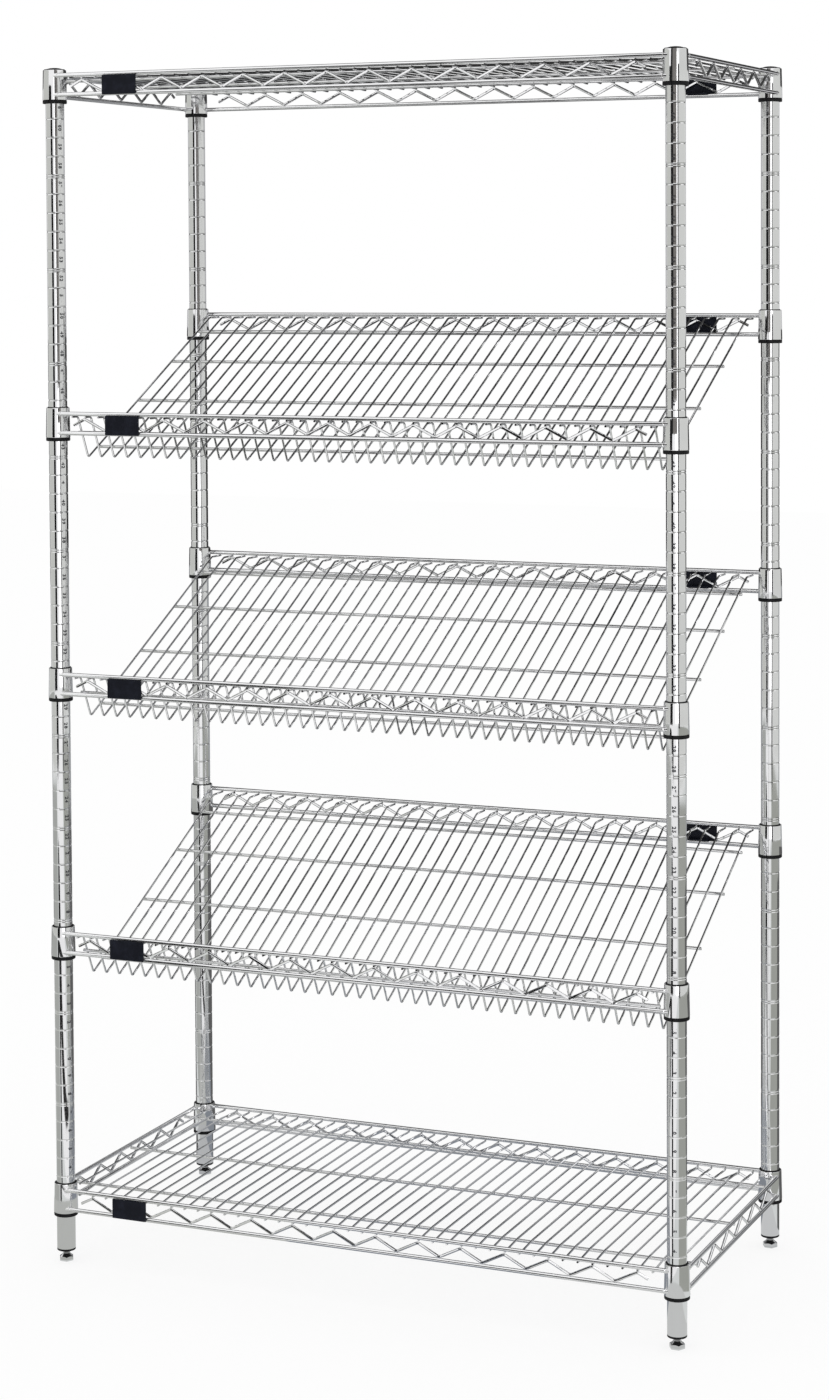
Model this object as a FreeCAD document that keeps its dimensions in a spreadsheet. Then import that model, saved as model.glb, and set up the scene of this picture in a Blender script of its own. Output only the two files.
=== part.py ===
import FreeCAD, Part
import math
import os
import Sketcher
from FreeCAD import Placement, Rotation, Vector

# Slanted wire shelving unit: four round posts, two flat and three slanted wire shelves.
# Millimetres. X runs along the front from left to right, Y from front to back, Z up.
# The origin lies on the floor, midway between the four posts.

# Driving sizes: alias, value and what the value is
SIZES = (
    ("width_pitch", 881.0, "post centre to post centre along X"),
    ("depth_pitch", 418.0, "post centre to post centre along Y"),

    ("post_length", 1614.0, "tube length"),
    ("post_diameter", 25.4, "tube outside diameter"),
    ("post_wall", 1.2, "tube wall"),
    ("groove_pitch", 25.4, "rise from one groove to the next"),
    ("groove_width", 2.4, "groove width at the tube's surface"),
    ("groove_floor", 0.6, "groove width at its floor"),
    ("groove_depth", 0.45, "groove depth"),
    ("double_gap", 3.0, "drop from a groove to its second line"),

    ("cap_rim", 1.0, "straight rim of the cap above the tube"),
    ("cap_dome", 3.4, "height of the cap's dome above its rim"),
    ("cap_plug_length", 14.0, "length of the cap's plug in the tube"),
    ("plug_clearance", 0.05, "radial gap of a plug in the tube"),
    ("plug_wall", 1.8, "wall of the cap's hollow plug"),

    ("insert_lip", 4.5, "height of the foot insert below the tube"),
    ("insert_rim", 2.2, "straight rim of the foot insert's lip"),
    ("insert_nose_diameter", 15.0, "underside of the foot insert"),
    ("insert_plug_length", 34.0, "length of the foot insert in the tube"),

    ("foot_flats", 18.0, "hexagon foot across flats"),
    ("foot_height", 8.0, "height of the hexagon, chamfer included"),
    ("foot_chamfer", 2.6, "height of the turned chamfer at the hexagon's corners"),
    ("foot_neck", 5.0, "gap from the hexagon to the foot insert"),
    ("foot_shoulder_diameter", 13.0, "round shoulder on the hexagon"),
    ("foot_shoulder", 2.2, "height of the round shoulder"),
    ("stud_diameter", 9.5, "levelling stud"),
    ("stud_clearance", 0.25, "radial gap of the stud in its insert"),
    ("stud_length", 46.0, "length of the stud above the hexagon"),

    ("collar_height", 40.6, "height of a shelf's corner collar"),
    ("collar_top_diameter", 31.4, "collar outside diameter at its top"),
    ("collar_bottom_diameter", 33.2, "collar outside diameter at its bottom"),
    ("collar_wall", 1.5, "collar wall"),
    ("collar_drop", 25.4, "gripped groove down to the collar's lower edge"),
    ("sleeve_seat_gap", 0.15, "radial gap from a sleeve to its collar"),
    ("sleeve_post_gap", 0.05, "radial gap from a sleeve to its post, at the rib"),
    ("sleeve_mouth_gap", 0.1, "radial gap from a sleeve to its post, at both ends"),
    ("sleeve_below", 4.8, "sleeve showing under the collar"),
    ("sleeve_lip_diameter", 32.8, "lip of a sleeve under the collar"),
    ("sleeve_lip_gap", 0.3, "gap from a sleeve's lip up to the collar"),
    ("sleeve_above", 1.0, "sleeve showing over the collar"),
    ("sleeve_slit", 0.5, "slit between the two halves of a sleeve"),
    ("rib_height", 1.2, "width of the rib inside a sleeve"),
    ("rib_crest", 0.6, "width of the rib at its crest"),
    ("rib_clearance", 0.1, "gap from the rib's crest to the groove's floor"),

    ("rail_diameter", 5.8, "top and bottom rails of the shelf frames"),
    ("rail_offset", 12.0, "rail axis outside the line of post centres"),
    ("rail_height", 6.6, "bottom rail axis above the collar's lower edge"),
    ("rail_spacing", 26.2, "bottom rail axis to top rail axis"),
    ("rail_end", 5.0, "rail end to post centre, before the collar trims it"),

    ("truss_diameter", 3.8, "zigzag wire between the rails"),
    ("truss_bend", 5.5, "bend radius of the zigzag wire"),
    ("truss_left_tail", 17.0, "left end of a long zigzag past its last crest"),
    ("truss_right_tail", 14.0, "right end of a long zigzag past its last crest"),
    ("truss_side_tail", 11.0, "ends of a side zigzag past its last crests"),
    ("truss_post_gap", 30.0, "least gap from a zigzag's crest to the post centre"),

    ("deck_diameter", 2.8, "deck wires"),
    ("deck_pitch", 20.1, "spacing of the deck wires"),
    ("deck_post_gap", 18.5, "least gap from a full deck wire to the post centre"),
    ("deck_past_rail", 0.5, "deck wire's end beyond the rail's axis"),
    ("deck_seat", 7.0, "level end of a flat shelf's deck wire behind the rail's axis"),
    ("short_wire_end", 24.0, "outer deck wires' ends short of the post centre"),
    ("support_diameter", 4.2, "cross wires under the deck"),
    ("support_inset", 53.0, "outer cross wires of a flat shelf behind the rails"),
    ("support_past_rail", 0.5, "cross wire's end beyond the side rail's axis"),
    ("flat_bend_gap", 3.0, "flat deck wire's bend beyond its outer cross wire"),
    ("flat_bend", 40.0, "radius of the flat deck wire's slight bends"),

    ("lip_top_reach", 16.2, "front lip's upper bend behind the front rail"),
    ("lip_nose_reach", 44.0, "front lip's lowest bend behind the front rail"),
    ("lip_nose_drop", 28.5, "front lip's lowest bend below the front collar's edge"),
    ("lip_top_bend", 6.0, "radius of the lip's upper bend"),
    ("lip_nose_bend", 4.0, "radius of the lip's lowest bend"),
    ("slant_rear_reach", 29.0, "slanted wire's rear bend ahead of the rear rail"),
    ("slant_rear_bend", 8.0, "radius of the slanted wire's rear bend"),
    ("lip_support_drop", 20.5, "cross wire on the lip below the lip's upper bend"),
    ("slant_support_first", 63.0, "first cross wire ahead of the rear rail"),
    ("slant_support_second", 145.5, "second cross wire ahead of the rear rail"),
    ("slant_support_third", 193.0, "third cross wire behind the front rail"),
    ("slant_support_fourth", 75.5, "fourth cross wire behind the front rail"),
    ("slant_support_past_deck", 3.2, "cross wire's end beyond the last slanted deck wire"),

    ("plate_width", 51.0, "label plate along the rail"),
    ("plate_height", 26.3, "label plate height"),
    ("plate_thickness", 1.8, "label plate thickness"),
    ("plate_rounding", 0.7, "rounding of the label plate's front edges"),
    ("plate_from_post", 81.5, "near edge of the label plate to the post centre"),
    ("plate_drop", 1.8, "label plate's lower edge below the rail's axis"),
    ("hook_width", 30.0, "hook over the bottom rail, along the rail"),
    ("hook_thickness", 1.0, "thickness of the hook"),
    ("hook_clearance", 0.1, "gap from the hook to the rail"),
    ("hook_end", 1.8, "hook's end over the rail's axis"),
)

# Grooves are numbered up the post; every fifth one is a double line
FIRST_GROOVE = 3
DOUBLE_EVERY = 5
DOUBLE_AFTER = 3
# A zigzag's crest carries every third deck wire
TRUSS_STEP = 3
# The grooves that each shelf's front and rear sleeves grip, and its number of label plates,
# the front one first; the top shelf grips the last groove
SHELVES = (
    ("bottom_shelf", 3, 3, 1),
    ("lower_slanted_shelf", 17, 22, 2),
    ("middle_slanted_shelf", 31, 36, 2),
    ("upper_slanted_shelf", 45, 50, 2),
    ("top_shelf", None, None, 2),
)
# Each post with its side along X and along Y
CORNERS = (
    ("front_left", -1, -1),
    ("front_right", 1, -1),
    ("rear_left", -1, 1),
    ("rear_right", 1, 1),
)
# The cap's dome: shares of the tube's radius and of the dome's height
DOME_SHARES = ((0.0, 1.0), (0.45, 0.93), (0.8, 0.66))
# A swept wire's volume may differ from its section times its length by this share
SWEEP_SHARE = 0.001

UP = Vector(0, 0, 1)
FLOOR_TO_POST = "Sizes.foot_height + Sizes.foot_neck + Sizes.insert_lip"
POST_RADIUS = "Sizes.post_diameter / 2"
PLUG_RADIUS = "(Sizes.post_diameter / 2 - Sizes.post_wall - Sizes.plug_clearance)"
STUD_RADIUS = "Sizes.stud_diameter / 2"
COLLAR_FOOT = "Sizes.collar_bottom_diameter / 2"
COLLAR_HEAD = "Sizes.collar_top_diameter / 2"

doc = FreeCAD.newDocument("SlantedWireShelving")
sheet = doc.addObject("Spreadsheet::Sheet", "Sizes")
for row, (alias, value, meaning) in enumerate(SIZES, start=1):
    sheet.set("A%d" % row, meaning)
    sheet.set("B%d" % row, str(value))
    sheet.setAlias("B%d" % row, alias)
doc.recompute()

nodes = []


def size(expression):
    """The value of an expression in the sheet's names."""
    return float(sheet.evalExpression(expression))


def last_groove():
    """The number of the highest groove that the tube has room for."""
    return int(size("Sizes.post_length / Sizes.groove_pitch"))


def node(label, feature):
    """Keep a finished sub-part under the name that it is written out with."""
    feature.Label = label
    nodes.append(feature)


def placed(shape, x=0.0, y=0.0, z=0.0, turn=0.0):
    """A copy of a shape, turned about Z and then moved."""
    copy = shape.copy()
    copy.Placement = Placement(Vector(x, y, z), Rotation(UP, turn)).multiply(copy.Placement)
    return copy


def outline(body, name, role, corners):
    """A closed sketch of straight lines whose corners are pairs of expressions."""
    sketch = body.newObject("Sketcher::SketchObject", name)
    plane = next(part for part in body.Origin.OriginFeatures if part.Role == role)
    sketch.AttachmentSupport = [(plane, "")]
    sketch.MapMode = "FlatFace"
    ends = [Vector(size(across), size(along), 0) for across, along in corners]
    following = ends[1:] + ends[:1]
    for start, end in zip(ends, following):
        sketch.addGeometry(Part.LineSegment(start, end), False)
    for index, corner in enumerate(corners):
        sketch.addConstraint(Sketcher.Constraint("Coincident", index, 2, (index + 1) % len(corners), 1))
        for expression, kind, axis in zip(corner, ("DistanceX", "DistanceY"), (-2, -1)):
            if size(expression) == 0:
                sketch.addConstraint(Sketcher.Constraint("PointOnObject", index, 1, axis))
                continue
            fixed = Sketcher.Constraint(kind, -1, 1, index, 1, size(expression))
            number = sketch.addConstraint(fixed)
            sketch.setExpression("Constraints[%d]" % number, expression)
    return sketch


def turned(label, corners, angle=None):
    """A body turned about Z from an outline of (radius, height) expressions."""
    body = doc.addObject("PartDesign::Body", label)
    sketch = outline(body, label + "_outline", "XZ_Plane", corners)
    turning = body.newObject("PartDesign::Revolution", label + "_turning")
    turning.Profile = sketch
    turning.ReferenceAxis = (sketch, ["V_Axis"])
    turning.Midplane = True
    turning.Angle = 360
    if angle:
        turning.setExpression("Angle", angle)
    return body


def stand_on_corner(feature, side_x, side_y, height):
    """Place a feature on a post's axis, at a height given as an expression."""
    feature.setExpression(".Placement.Base.x", "%d * Sizes.width_pitch / 2" % side_x)
    feature.setExpression(".Placement.Base.y", "%d * Sizes.depth_pitch / 2" % side_y)
    feature.setExpression(".Placement.Base.z", height)


def make_posts():
    """Grooved tubes, turned from one profile."""
    outer = size(POST_RADIUS)
    inner = outer - size("Sizes.post_wall")
    floor = outer - size("Sizes.groove_depth")
    mouth = size("Sizes.groove_width / 2")
    bed = size("Sizes.groove_floor / 2")
    heights = []
    for number in range(FIRST_GROOVE, last_groove() + 1):
        height = number * size("Sizes.groove_pitch")
        if number % DOUBLE_EVERY == DOUBLE_AFTER:
            heights.append(height - size("Sizes.double_gap"))
        heights.append(height)
    corners = [Vector(inner, 0, 0), Vector(outer, 0, 0)]
    for height in heights:
        for radius, offset in ((outer, -mouth), (floor, -bed), (floor, bed), (outer, mouth)):
            corners.append(Vector(radius, 0, height + offset))
    corners.append(Vector(outer, 0, size("Sizes.post_length")))
    corners.append(Vector(inner, 0, size("Sizes.post_length")))
    profile = doc.addObject("Part::Feature", "post_profile")
    profile.Shape = Part.Face(Part.makePolygon(corners + corners[:1]))
    for name, side_x, side_y in CORNERS:
        post = doc.addObject("Part::Revolution", "post_" + name)
        post.Source = profile
        post.Axis = UP
        post.Angle = 360
        post.Solid = True
        stand_on_corner(post, side_x, side_y, FLOOR_TO_POST)
        node("post_" + name, post)


def make_caps():
    """Caps with a low dome, each plugged into a post's top."""
    dome = [
        ("%s * %s" % (POST_RADIUS, across), "Sizes.cap_rim + Sizes.cap_dome * %s" % up)
        for across, up in DOME_SHARES
    ]
    bore = PLUG_RADIUS + " - Sizes.plug_wall"
    rest = [
        (POST_RADIUS, "Sizes.cap_rim"),
        (POST_RADIUS, "0"),
        (PLUG_RADIUS, "0"),
        (PLUG_RADIUS, "-Sizes.cap_plug_length"),
        (bore, "-Sizes.cap_plug_length"),
        (bore, "-Sizes.plug_wall"),
        ("0", "-Sizes.plug_wall"),
    ]
    for name, side_x, side_y in CORNERS:
        body = turned("post_cap_" + name, dome + rest)
        stand_on_corner(body, side_x, side_y, FLOOR_TO_POST + " + Sizes.post_length")
        node("post_cap_" + name, body)


def make_foot_inserts():
    """Plugs in the posts' lower ends that carry the levelling studs."""
    bore = STUD_RADIUS + " + Sizes.stud_clearance"
    corners = (
        (bore, "-Sizes.insert_lip"),
        ("Sizes.insert_nose_diameter / 2", "-Sizes.insert_lip"),
        (POST_RADIUS, "-Sizes.insert_rim"),
        (POST_RADIUS, "0"),
        (PLUG_RADIUS, "0"),
        (PLUG_RADIUS, "Sizes.insert_plug_length"),
        (bore, "Sizes.insert_plug_length"),
    )
    for name, side_x, side_y in CORNERS:
        body = turned("foot_insert_" + name, corners)
        stand_on_corner(body, side_x, side_y, FLOOR_TO_POST)
        node("foot_insert_" + name, body)


def make_levelling_feet():
    """Hexagon feet with a chamfer, a round shoulder and a stud."""
    flat = "Sizes.foot_flats / 2"
    tip = "Sizes.foot_flats / sqrt(3)"
    half_side = "Sizes.foot_flats / 2 / sqrt(3)"
    top = "Sizes.foot_height"
    hexagon = (
        (tip, "0"), (half_side, flat), ("-(%s)" % half_side, flat),
        ("-(%s)" % tip, "0"), ("-(%s)" % half_side, "-(%s)" % flat), (half_side, "-(%s)" % flat),
    )
    # The chamfer starts at the shoulder and passes through the hexagon's corner at its named height
    shoulder = "Sizes.foot_shoulder_diameter / 2"
    chamfer = (
        (shoulder, top),
        ("2 * %s - %s" % (tip, shoulder), top),
        ("2 * %s - %s" % (tip, shoulder), top + " - 2 * Sizes.foot_chamfer"),
    )
    stud = (
        ("0", top),
        (shoulder, top),
        (STUD_RADIUS, top + " + Sizes.foot_shoulder"),
        (STUD_RADIUS, top + " + Sizes.stud_length"),
        ("0", top + " + Sizes.stud_length"),
    )
    for name, side_x, side_y in CORNERS:
        label = "levelling_foot_" + name
        body = doc.addObject("PartDesign::Body", label)
        pad = body.newObject("PartDesign::Pad", label + "_pad")
        pad.Profile = outline(body, label + "_hexagon", "XY_Plane", hexagon)
        pad.setExpression("Length", top)
        groove = body.newObject("PartDesign::Groove", label + "_chamfer")
        groove.Profile = outline(body, label + "_chamfer_outline", "XZ_Plane", chamfer)
        groove.ReferenceAxis = (groove.Profile[0], ["V_Axis"])
        groove.Angle = 360
        turning = body.newObject("PartDesign::Revolution", label + "_stud")
        turning.Profile = outline(body, label + "_stud_outline", "XZ_Plane", stud)
        turning.ReferenceAxis = (turning.Profile[0], ["V_Axis"])
        turning.Angle = 360
        body.Tip = turning
        stand_on_corner(body, side_x, side_y, "0")
        node(label, body)


def make_collar_master():
    """A tapered corner collar, its lower edge at height 0."""
    return turned("collar_master", (
        (COLLAR_FOOT + " - Sizes.collar_wall", "0"),
        (COLLAR_FOOT, "0"),
        (COLLAR_HEAD, "Sizes.collar_height"),
        (COLLAR_HEAD + " - Sizes.collar_wall", "Sizes.collar_height"),
    ))


def make_sleeve_master():
    """The right half of a tapered split sleeve, lipped under the collar and ribbed inside."""
    slope = "(%s - %s) / Sizes.collar_height" % (COLLAR_FOOT, COLLAR_HEAD)
    seat = COLLAR_FOOT + " - Sizes.collar_wall - Sizes.sleeve_seat_gap"
    bore = POST_RADIUS + " + Sizes.sleeve_post_gap"
    mouth = POST_RADIUS + " + Sizes.sleeve_mouth_gap"
    crest = POST_RADIUS + " - Sizes.groove_depth + Sizes.rib_clearance"
    top = "(Sizes.collar_height + Sizes.sleeve_above)"
    lip = "Sizes.sleeve_lip_diameter / 2"
    corners = (
        (mouth, "-Sizes.sleeve_below"),
        (lip, "-Sizes.sleeve_below"),
        (lip, "-Sizes.sleeve_lip_gap"),
        ("%s + Sizes.sleeve_lip_gap * %s" % (seat, slope), "-Sizes.sleeve_lip_gap"),
        ("%s - %s * %s" % (seat, top, slope), top),
        (mouth, top),
        (bore, "Sizes.collar_drop + Sizes.rib_height / 2"),
        (crest, "Sizes.collar_drop + Sizes.rib_crest / 2"),
        (crest, "Sizes.collar_drop - Sizes.rib_crest / 2"),
        (bore, "Sizes.collar_drop - Sizes.rib_height / 2"),
    )
    return turned("sleeve_master", corners, "180 deg - 2 * atan(Sizes.sleeve_slit / Sizes.post_diameter)")


def make_plate_master():
    """A bare label plate that faces -Y, hooked over a rail on the X axis."""
    body = doc.addObject("PartDesign::Body", "label_plate_master")
    near = "(Sizes.rail_diameter / 2 + Sizes.hook_clearance)"
    far = "(%s + Sizes.hook_thickness)" % near
    face = "-(%s + Sizes.plate_thickness)" % near
    middle = "-(%s + Sizes.plate_thickness / 2)" % near
    bottom = "-Sizes.plate_drop"
    top = "(Sizes.plate_height - Sizes.plate_drop)"
    plate_side = outline(body, "label_plate_side", "YZ_Plane", (
        (face, bottom), ("-" + near, bottom), ("-" + near, top), (face, top),
    ))
    hook_side = outline(body, "label_hook_side", "YZ_Plane", (
        (middle, near), (near, near), (near, "Sizes.hook_end"),
        (far, "Sizes.hook_end"), (far, far), (middle, far),
    ))
    for label, side, width in (
        ("label_plate_pad", plate_side, "Sizes.plate_width"),
        ("label_hook_pad", hook_side, "Sizes.hook_width"),
    ):
        pad = body.newObject("PartDesign::Pad", label)
        pad.Profile = side
        pad.Midplane = True
        pad.setExpression("Length", width)
    doc.recompute()
    faces = pad.Shape.Faces
    front = min(range(len(faces)), key=lambda index: faces[index].CenterOfMass.y)
    rounding = body.newObject("PartDesign::Fillet", "label_plate_rounding")
    rounding.Base = (pad, ["Face%d" % (front + 1)])
    rounding.setExpression("Radius", "Sizes.plate_rounding")
    body.Tip = rounding
    return body


def make_collar_core():
    """The collar's outside as a full cone, which trims the ends of the rails."""
    core = doc.addObject("Part::Cone", "collar_core")
    core.setExpression("Radius1", COLLAR_FOOT)
    core.setExpression("Radius2", COLLAR_HEAD)
    core.setExpression("Height", "Sizes.collar_height")
    return core


def make_rail_master(label, pitch, height, core):
    """A rail between two collars along X, outside their centres on -Y."""
    radius = size("Sizes.rail_diameter / 2")
    half = size(pitch) / 2
    start = Vector(-half + size("Sizes.rail_end"), -size("Sizes.rail_offset"), height)
    bar = Part.makeCylinder(radius, -2 * start.x, start, Vector(1, 0, 0))
    trims = [placed(core.Shape, x=-half), placed(core.Shape, x=half)]
    feature = doc.addObject("Part::Feature", label)
    feature.Shape = bar.cut(trims)
    return feature


def bent_wire(label, diameter, corners, radii):
    """A round wire along straight runs joined by tangent arcs at the inner corners."""
    edges = []
    start = corners[0]
    for before, corner, after, radius in zip(corners, corners[1:], corners[2:], radii):
        arriving = (corner - before).normalize()
        leaving = (after - corner).normalize()
        half_turn = arriving.getAngle(leaving) / 2
        setback = radius * math.tan(half_turn)
        inward = (leaving - arriving).normalize()
        middle = corner + inward * (radius / math.cos(half_turn) - radius)
        arc_start = corner - arriving * setback
        arc_end = corner + leaving * setback
        edges.append(Part.LineSegment(start, arc_start).toShape())
        edges.append(Part.Arc(arc_start, middle, arc_end).toShape())
        start = arc_end
    edges.append(Part.LineSegment(start, corners[-1]).toShape())
    path = Part.Wire(edges)
    ring = Part.Circle(corners[0], corners[1] - corners[0], diameter / 2)
    wire = path.makePipe(Part.Face(Part.Wire(ring.toShape())))
    expected = math.pi * diameter ** 2 / 4 * path.Length
    if abs(wire.Volume - expected) > expected * SWEEP_SHARE:
        raise RuntimeError("%s has %.1f mm3 instead of %.1f" % (label, wire.Volume, expected))
    feature = doc.addObject("Part::Feature", label)
    feature.Shape = wire
    return feature


def make_truss_master(label, pitch, crest_height, left_tail, right_tail):
    """A zigzag wire along X between the rails, its crests under the deck wires."""
    step = TRUSS_STEP * size("Sizes.deck_pitch")
    count = int((size(pitch) / 2 - size("Sizes.truss_post_gap")) / step + 0.5)
    bend = size("Sizes.truss_bend")
    low = size("Sizes.rail_height + (Sizes.rail_diameter + Sizes.truss_diameter) / 2")
    rise = crest_height - low
    # The slope at which runs and arcs of this radius climb exactly from trough to crest
    reach = math.hypot(step / 2, 2 * bend - rise)
    slope = math.asin(2 * bend / reach) - math.atan2(2 * bend - rise, step / 2)
    overshoot = bend / math.cos(slope) - bend
    peak = crest_height + overshoot
    first = (0.5 - count) * step
    corners = [Vector(first - left_tail, 0, peak - left_tail * math.tan(slope))]
    for index in range(2 * count - 1):
        corners.append(Vector(first + index * step, 0, peak))
        corners.append(Vector(first + (index + 0.5) * step, 0, low - overshoot))
    corners.append(Vector(-first, 0, peak))
    corners.append(Vector(-first + right_tail, 0, peak - right_tail * math.tan(slope)))
    radii = [bend] * (len(corners) - 2)
    return bent_wire(label, size("Sizes.truss_diameter"), corners, radii)


def deck_places():
    """Places along X of the deck wires that run from rail to rail."""
    pitch = size("Sizes.deck_pitch")
    count = int(size("Sizes.width_pitch / 2 - Sizes.deck_post_gap") / pitch + 0.5)
    return [(index + 0.5) * pitch for index in range(-count, count)]


def make_flat_deck(tip_height, deck_height):
    """The flat shelf's deck wires: full ones, and a short straight one at each side."""
    rail = size("Sizes.depth_pitch / 2 + Sizes.rail_offset")
    end = rail + size("Sizes.deck_past_rail")
    seat = rail - size("Sizes.deck_seat")
    bend = rail - size("Sizes.support_inset - Sizes.flat_bend_gap")
    half = [(end, tip_height), (seat, tip_height), (bend, deck_height)]
    corners = [Vector(0, -y, z) for y, z in half] + [Vector(0, y, z) for y, z in reversed(half)]
    diameter = size("Sizes.deck_diameter")
    radii = [size("Sizes.flat_bend")] * (len(corners) - 2)
    full = bent_wire("flat_deck_wire_master", diameter, corners, radii).Shape
    half_length = size("Sizes.depth_pitch / 2 - Sizes.short_wire_end")
    start = Vector(0, -half_length, deck_height)
    short = Part.makeCylinder(diameter / 2, 2 * half_length, start, Vector(0, 1, 0))
    places = deck_places()
    outer = places[-1] + size("Sizes.deck_pitch")
    wires = [placed(full, x=place) for place in places]
    return wires + [placed(short, x=-outer), placed(short, x=outer)]


def cross_wire(half_length, y, z):
    """A straight cross wire along X."""
    start = Vector(-half_length, y, z)
    return Part.makeCylinder(size("Sizes.support_diameter / 2"), 2 * half_length, start, Vector(1, 0, 0))


def make_flat_supports(height):
    """The flat shelf's cross wires, which end under the side rails."""
    half = size("Sizes.width_pitch / 2 + Sizes.rail_offset + Sizes.support_past_rail")
    reach = size("Sizes.depth_pitch / 2 + Sizes.rail_offset - Sizes.support_inset")
    return [cross_wire(half, y, height) for y in (-reach, 0, reach)]


def make_slanted_deck(tip_height, rise):
    """The slanted deck wires: a lip that drops behind the front rail, then the slope."""
    rail = size("Sizes.depth_pitch / 2 + Sizes.rail_offset")
    end = rail + size("Sizes.deck_past_rail")
    lip = Vector(0, -rail + size("Sizes.lip_top_reach"), tip_height)
    nose = Vector(0, -rail + size("Sizes.lip_nose_reach"), -size("Sizes.lip_nose_drop"))
    rear = Vector(0, rail - size("Sizes.slant_rear_reach"), tip_height + rise)
    corners = [Vector(0, -end, tip_height), lip, nose, rear, Vector(0, end, tip_height + rise)]
    radii = [size("Sizes.lip_top_bend"), size("Sizes.lip_nose_bend"), size("Sizes.slant_rear_bend")]
    wire = bent_wire("slanted_deck_wire_master", size("Sizes.deck_diameter"), corners, radii).Shape
    return [placed(wire, x=place) for place in deck_places()], (lip, nose, rear)


def make_slanted_supports(bends):
    """The slanted shelf's cross wires: one before the lip, four under the slope."""
    lip, nose, rear = bends
    apart = size("(Sizes.deck_diameter + Sizes.support_diameter) / 2")
    half = deck_places()[-1] + size("Sizes.slant_support_past_deck")
    rail = size("Sizes.depth_pitch / 2 + Sizes.rail_offset")
    falling = (nose - lip).normalize()
    on_lip = lip + falling * (-size("Sizes.lip_support_drop") / falling.z)
    before = on_lip + Vector(0, falling.z, -falling.y) * apart
    wires = [cross_wire(half, before.y, before.z)]
    climbing = (rear - nose).normalize()
    below = Vector(0, climbing.z, -climbing.y) * apart
    for alias, side in (("first", 1), ("second", 1), ("third", -1), ("fourth", -1)):
        y = side * (rail - size("Sizes.slant_support_" + alias))
        under = nose + climbing * ((y - nose.y) / climbing.y) + below
        wires.append(cross_wire(half, under.y, under.z))
    return wires


def at_corners(shape, rise):
    """A shape on each of the four posts, raised at the rear ones."""
    half_x = size("Sizes.width_pitch / 2")
    half_y = size("Sizes.depth_pitch / 2")
    return [
        placed(shape, x=side_x * half_x, y=side_y * half_y, z=max(side_y, 0) * rise)
        for name, side_x, side_y in CORNERS
    ]


def make_shelf_sets():
    """The pieces of a flat shelf and of a slanted one, from the front collar's edge up."""
    collar = make_collar_master()
    sleeve = make_sleeve_master()
    plate = make_plate_master()
    core = make_collar_core()
    doc.recompute()
    low = size("Sizes.rail_height")
    high = size("Sizes.rail_height + Sizes.rail_spacing")
    under_rail = high - size("Sizes.rail_diameter / 2")
    tip = under_rail - size("Sizes.deck_diameter / 2")
    support = under_rail - size("Sizes.support_diameter / 2")
    deck = under_rail + size("Sizes.deck_diameter / 2")
    truss_radius = size("Sizes.truss_diameter / 2")
    front_crest = tip - size("Sizes.deck_diameter / 2") - truss_radius
    long_rails = [
        make_rail_master("long_bottom_rail", "Sizes.width_pitch", low, core).Shape,
        make_rail_master("long_top_rail", "Sizes.width_pitch", high, core).Shape,
    ]
    side_rails = [
        make_rail_master("side_bottom_rail", "Sizes.depth_pitch", low, core).Shape,
        make_rail_master("side_top_rail", "Sizes.depth_pitch", high, core).Shape,
    ]
    long_truss = make_truss_master(
        "long_truss_wire", "Sizes.width_pitch", front_crest,
        size("Sizes.truss_left_tail"), size("Sizes.truss_right_tail")).Shape
    side_truss = make_truss_master(
        "side_truss_wire", "Sizes.depth_pitch", under_rail - truss_radius,
        size("Sizes.truss_side_tail"), size("Sizes.truss_side_tail")).Shape
    half_x = size("Sizes.width_pitch / 2")
    half_y = size("Sizes.depth_pitch / 2")
    rail_x = half_x + size("Sizes.rail_offset")
    rail_y = half_y + size("Sizes.rail_offset")
    plate_x = half_x - size("Sizes.plate_from_post + Sizes.plate_width / 2")
    slope_rise = (SHELVES[1][2] - SHELVES[1][1]) * size("Sizes.groove_pitch")
    slanted_deck, bends = make_slanted_deck(tip, slope_rise)
    sets = {}
    for kind, rise in (("flat", 0.0), ("slanted", slope_rise)):
        rails = []
        for rail in long_rails:
            rails.append(placed(rail, y=-half_y))
            rails.append(placed(rail, y=half_y, z=rise, turn=180))
        trusses = [placed(long_truss, y=-rail_y), placed(long_truss, y=rail_y, z=rise)]
        plates = [
            placed(plate.Shape, x=-plate_x, y=-rail_y, z=low),
            placed(plate.Shape, x=plate_x, y=rail_y, z=low + rise, turn=180),
        ]
        halves = []
        for turn in (0, 180):
            halves += at_corners(placed(sleeve.Shape, turn=turn), rise)
        sets[kind] = {
            "sleeves": halves,
            "collars": at_corners(collar.Shape, rise),
            "rails": rails,
            "truss_wires": trusses,
            "label_plates": plates,
        }
    for rail in side_rails:
        sets["flat"]["rails"].append(placed(rail, x=-half_x, turn=-90))
        sets["flat"]["rails"].append(placed(rail, x=half_x, turn=90))
    sets["flat"]["truss_wires"].append(placed(side_truss, x=-rail_x, turn=90))
    sets["flat"]["truss_wires"].append(placed(side_truss, x=rail_x, turn=90))
    sets["flat"]["deck_wires"] = make_flat_deck(tip, deck)
    sets["flat"]["support_wires"] = make_flat_supports(support)
    sets["slanted"]["deck_wires"] = slanted_deck
    sets["slanted"]["support_wires"] = make_slanted_supports(bends)
    return sets


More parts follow.
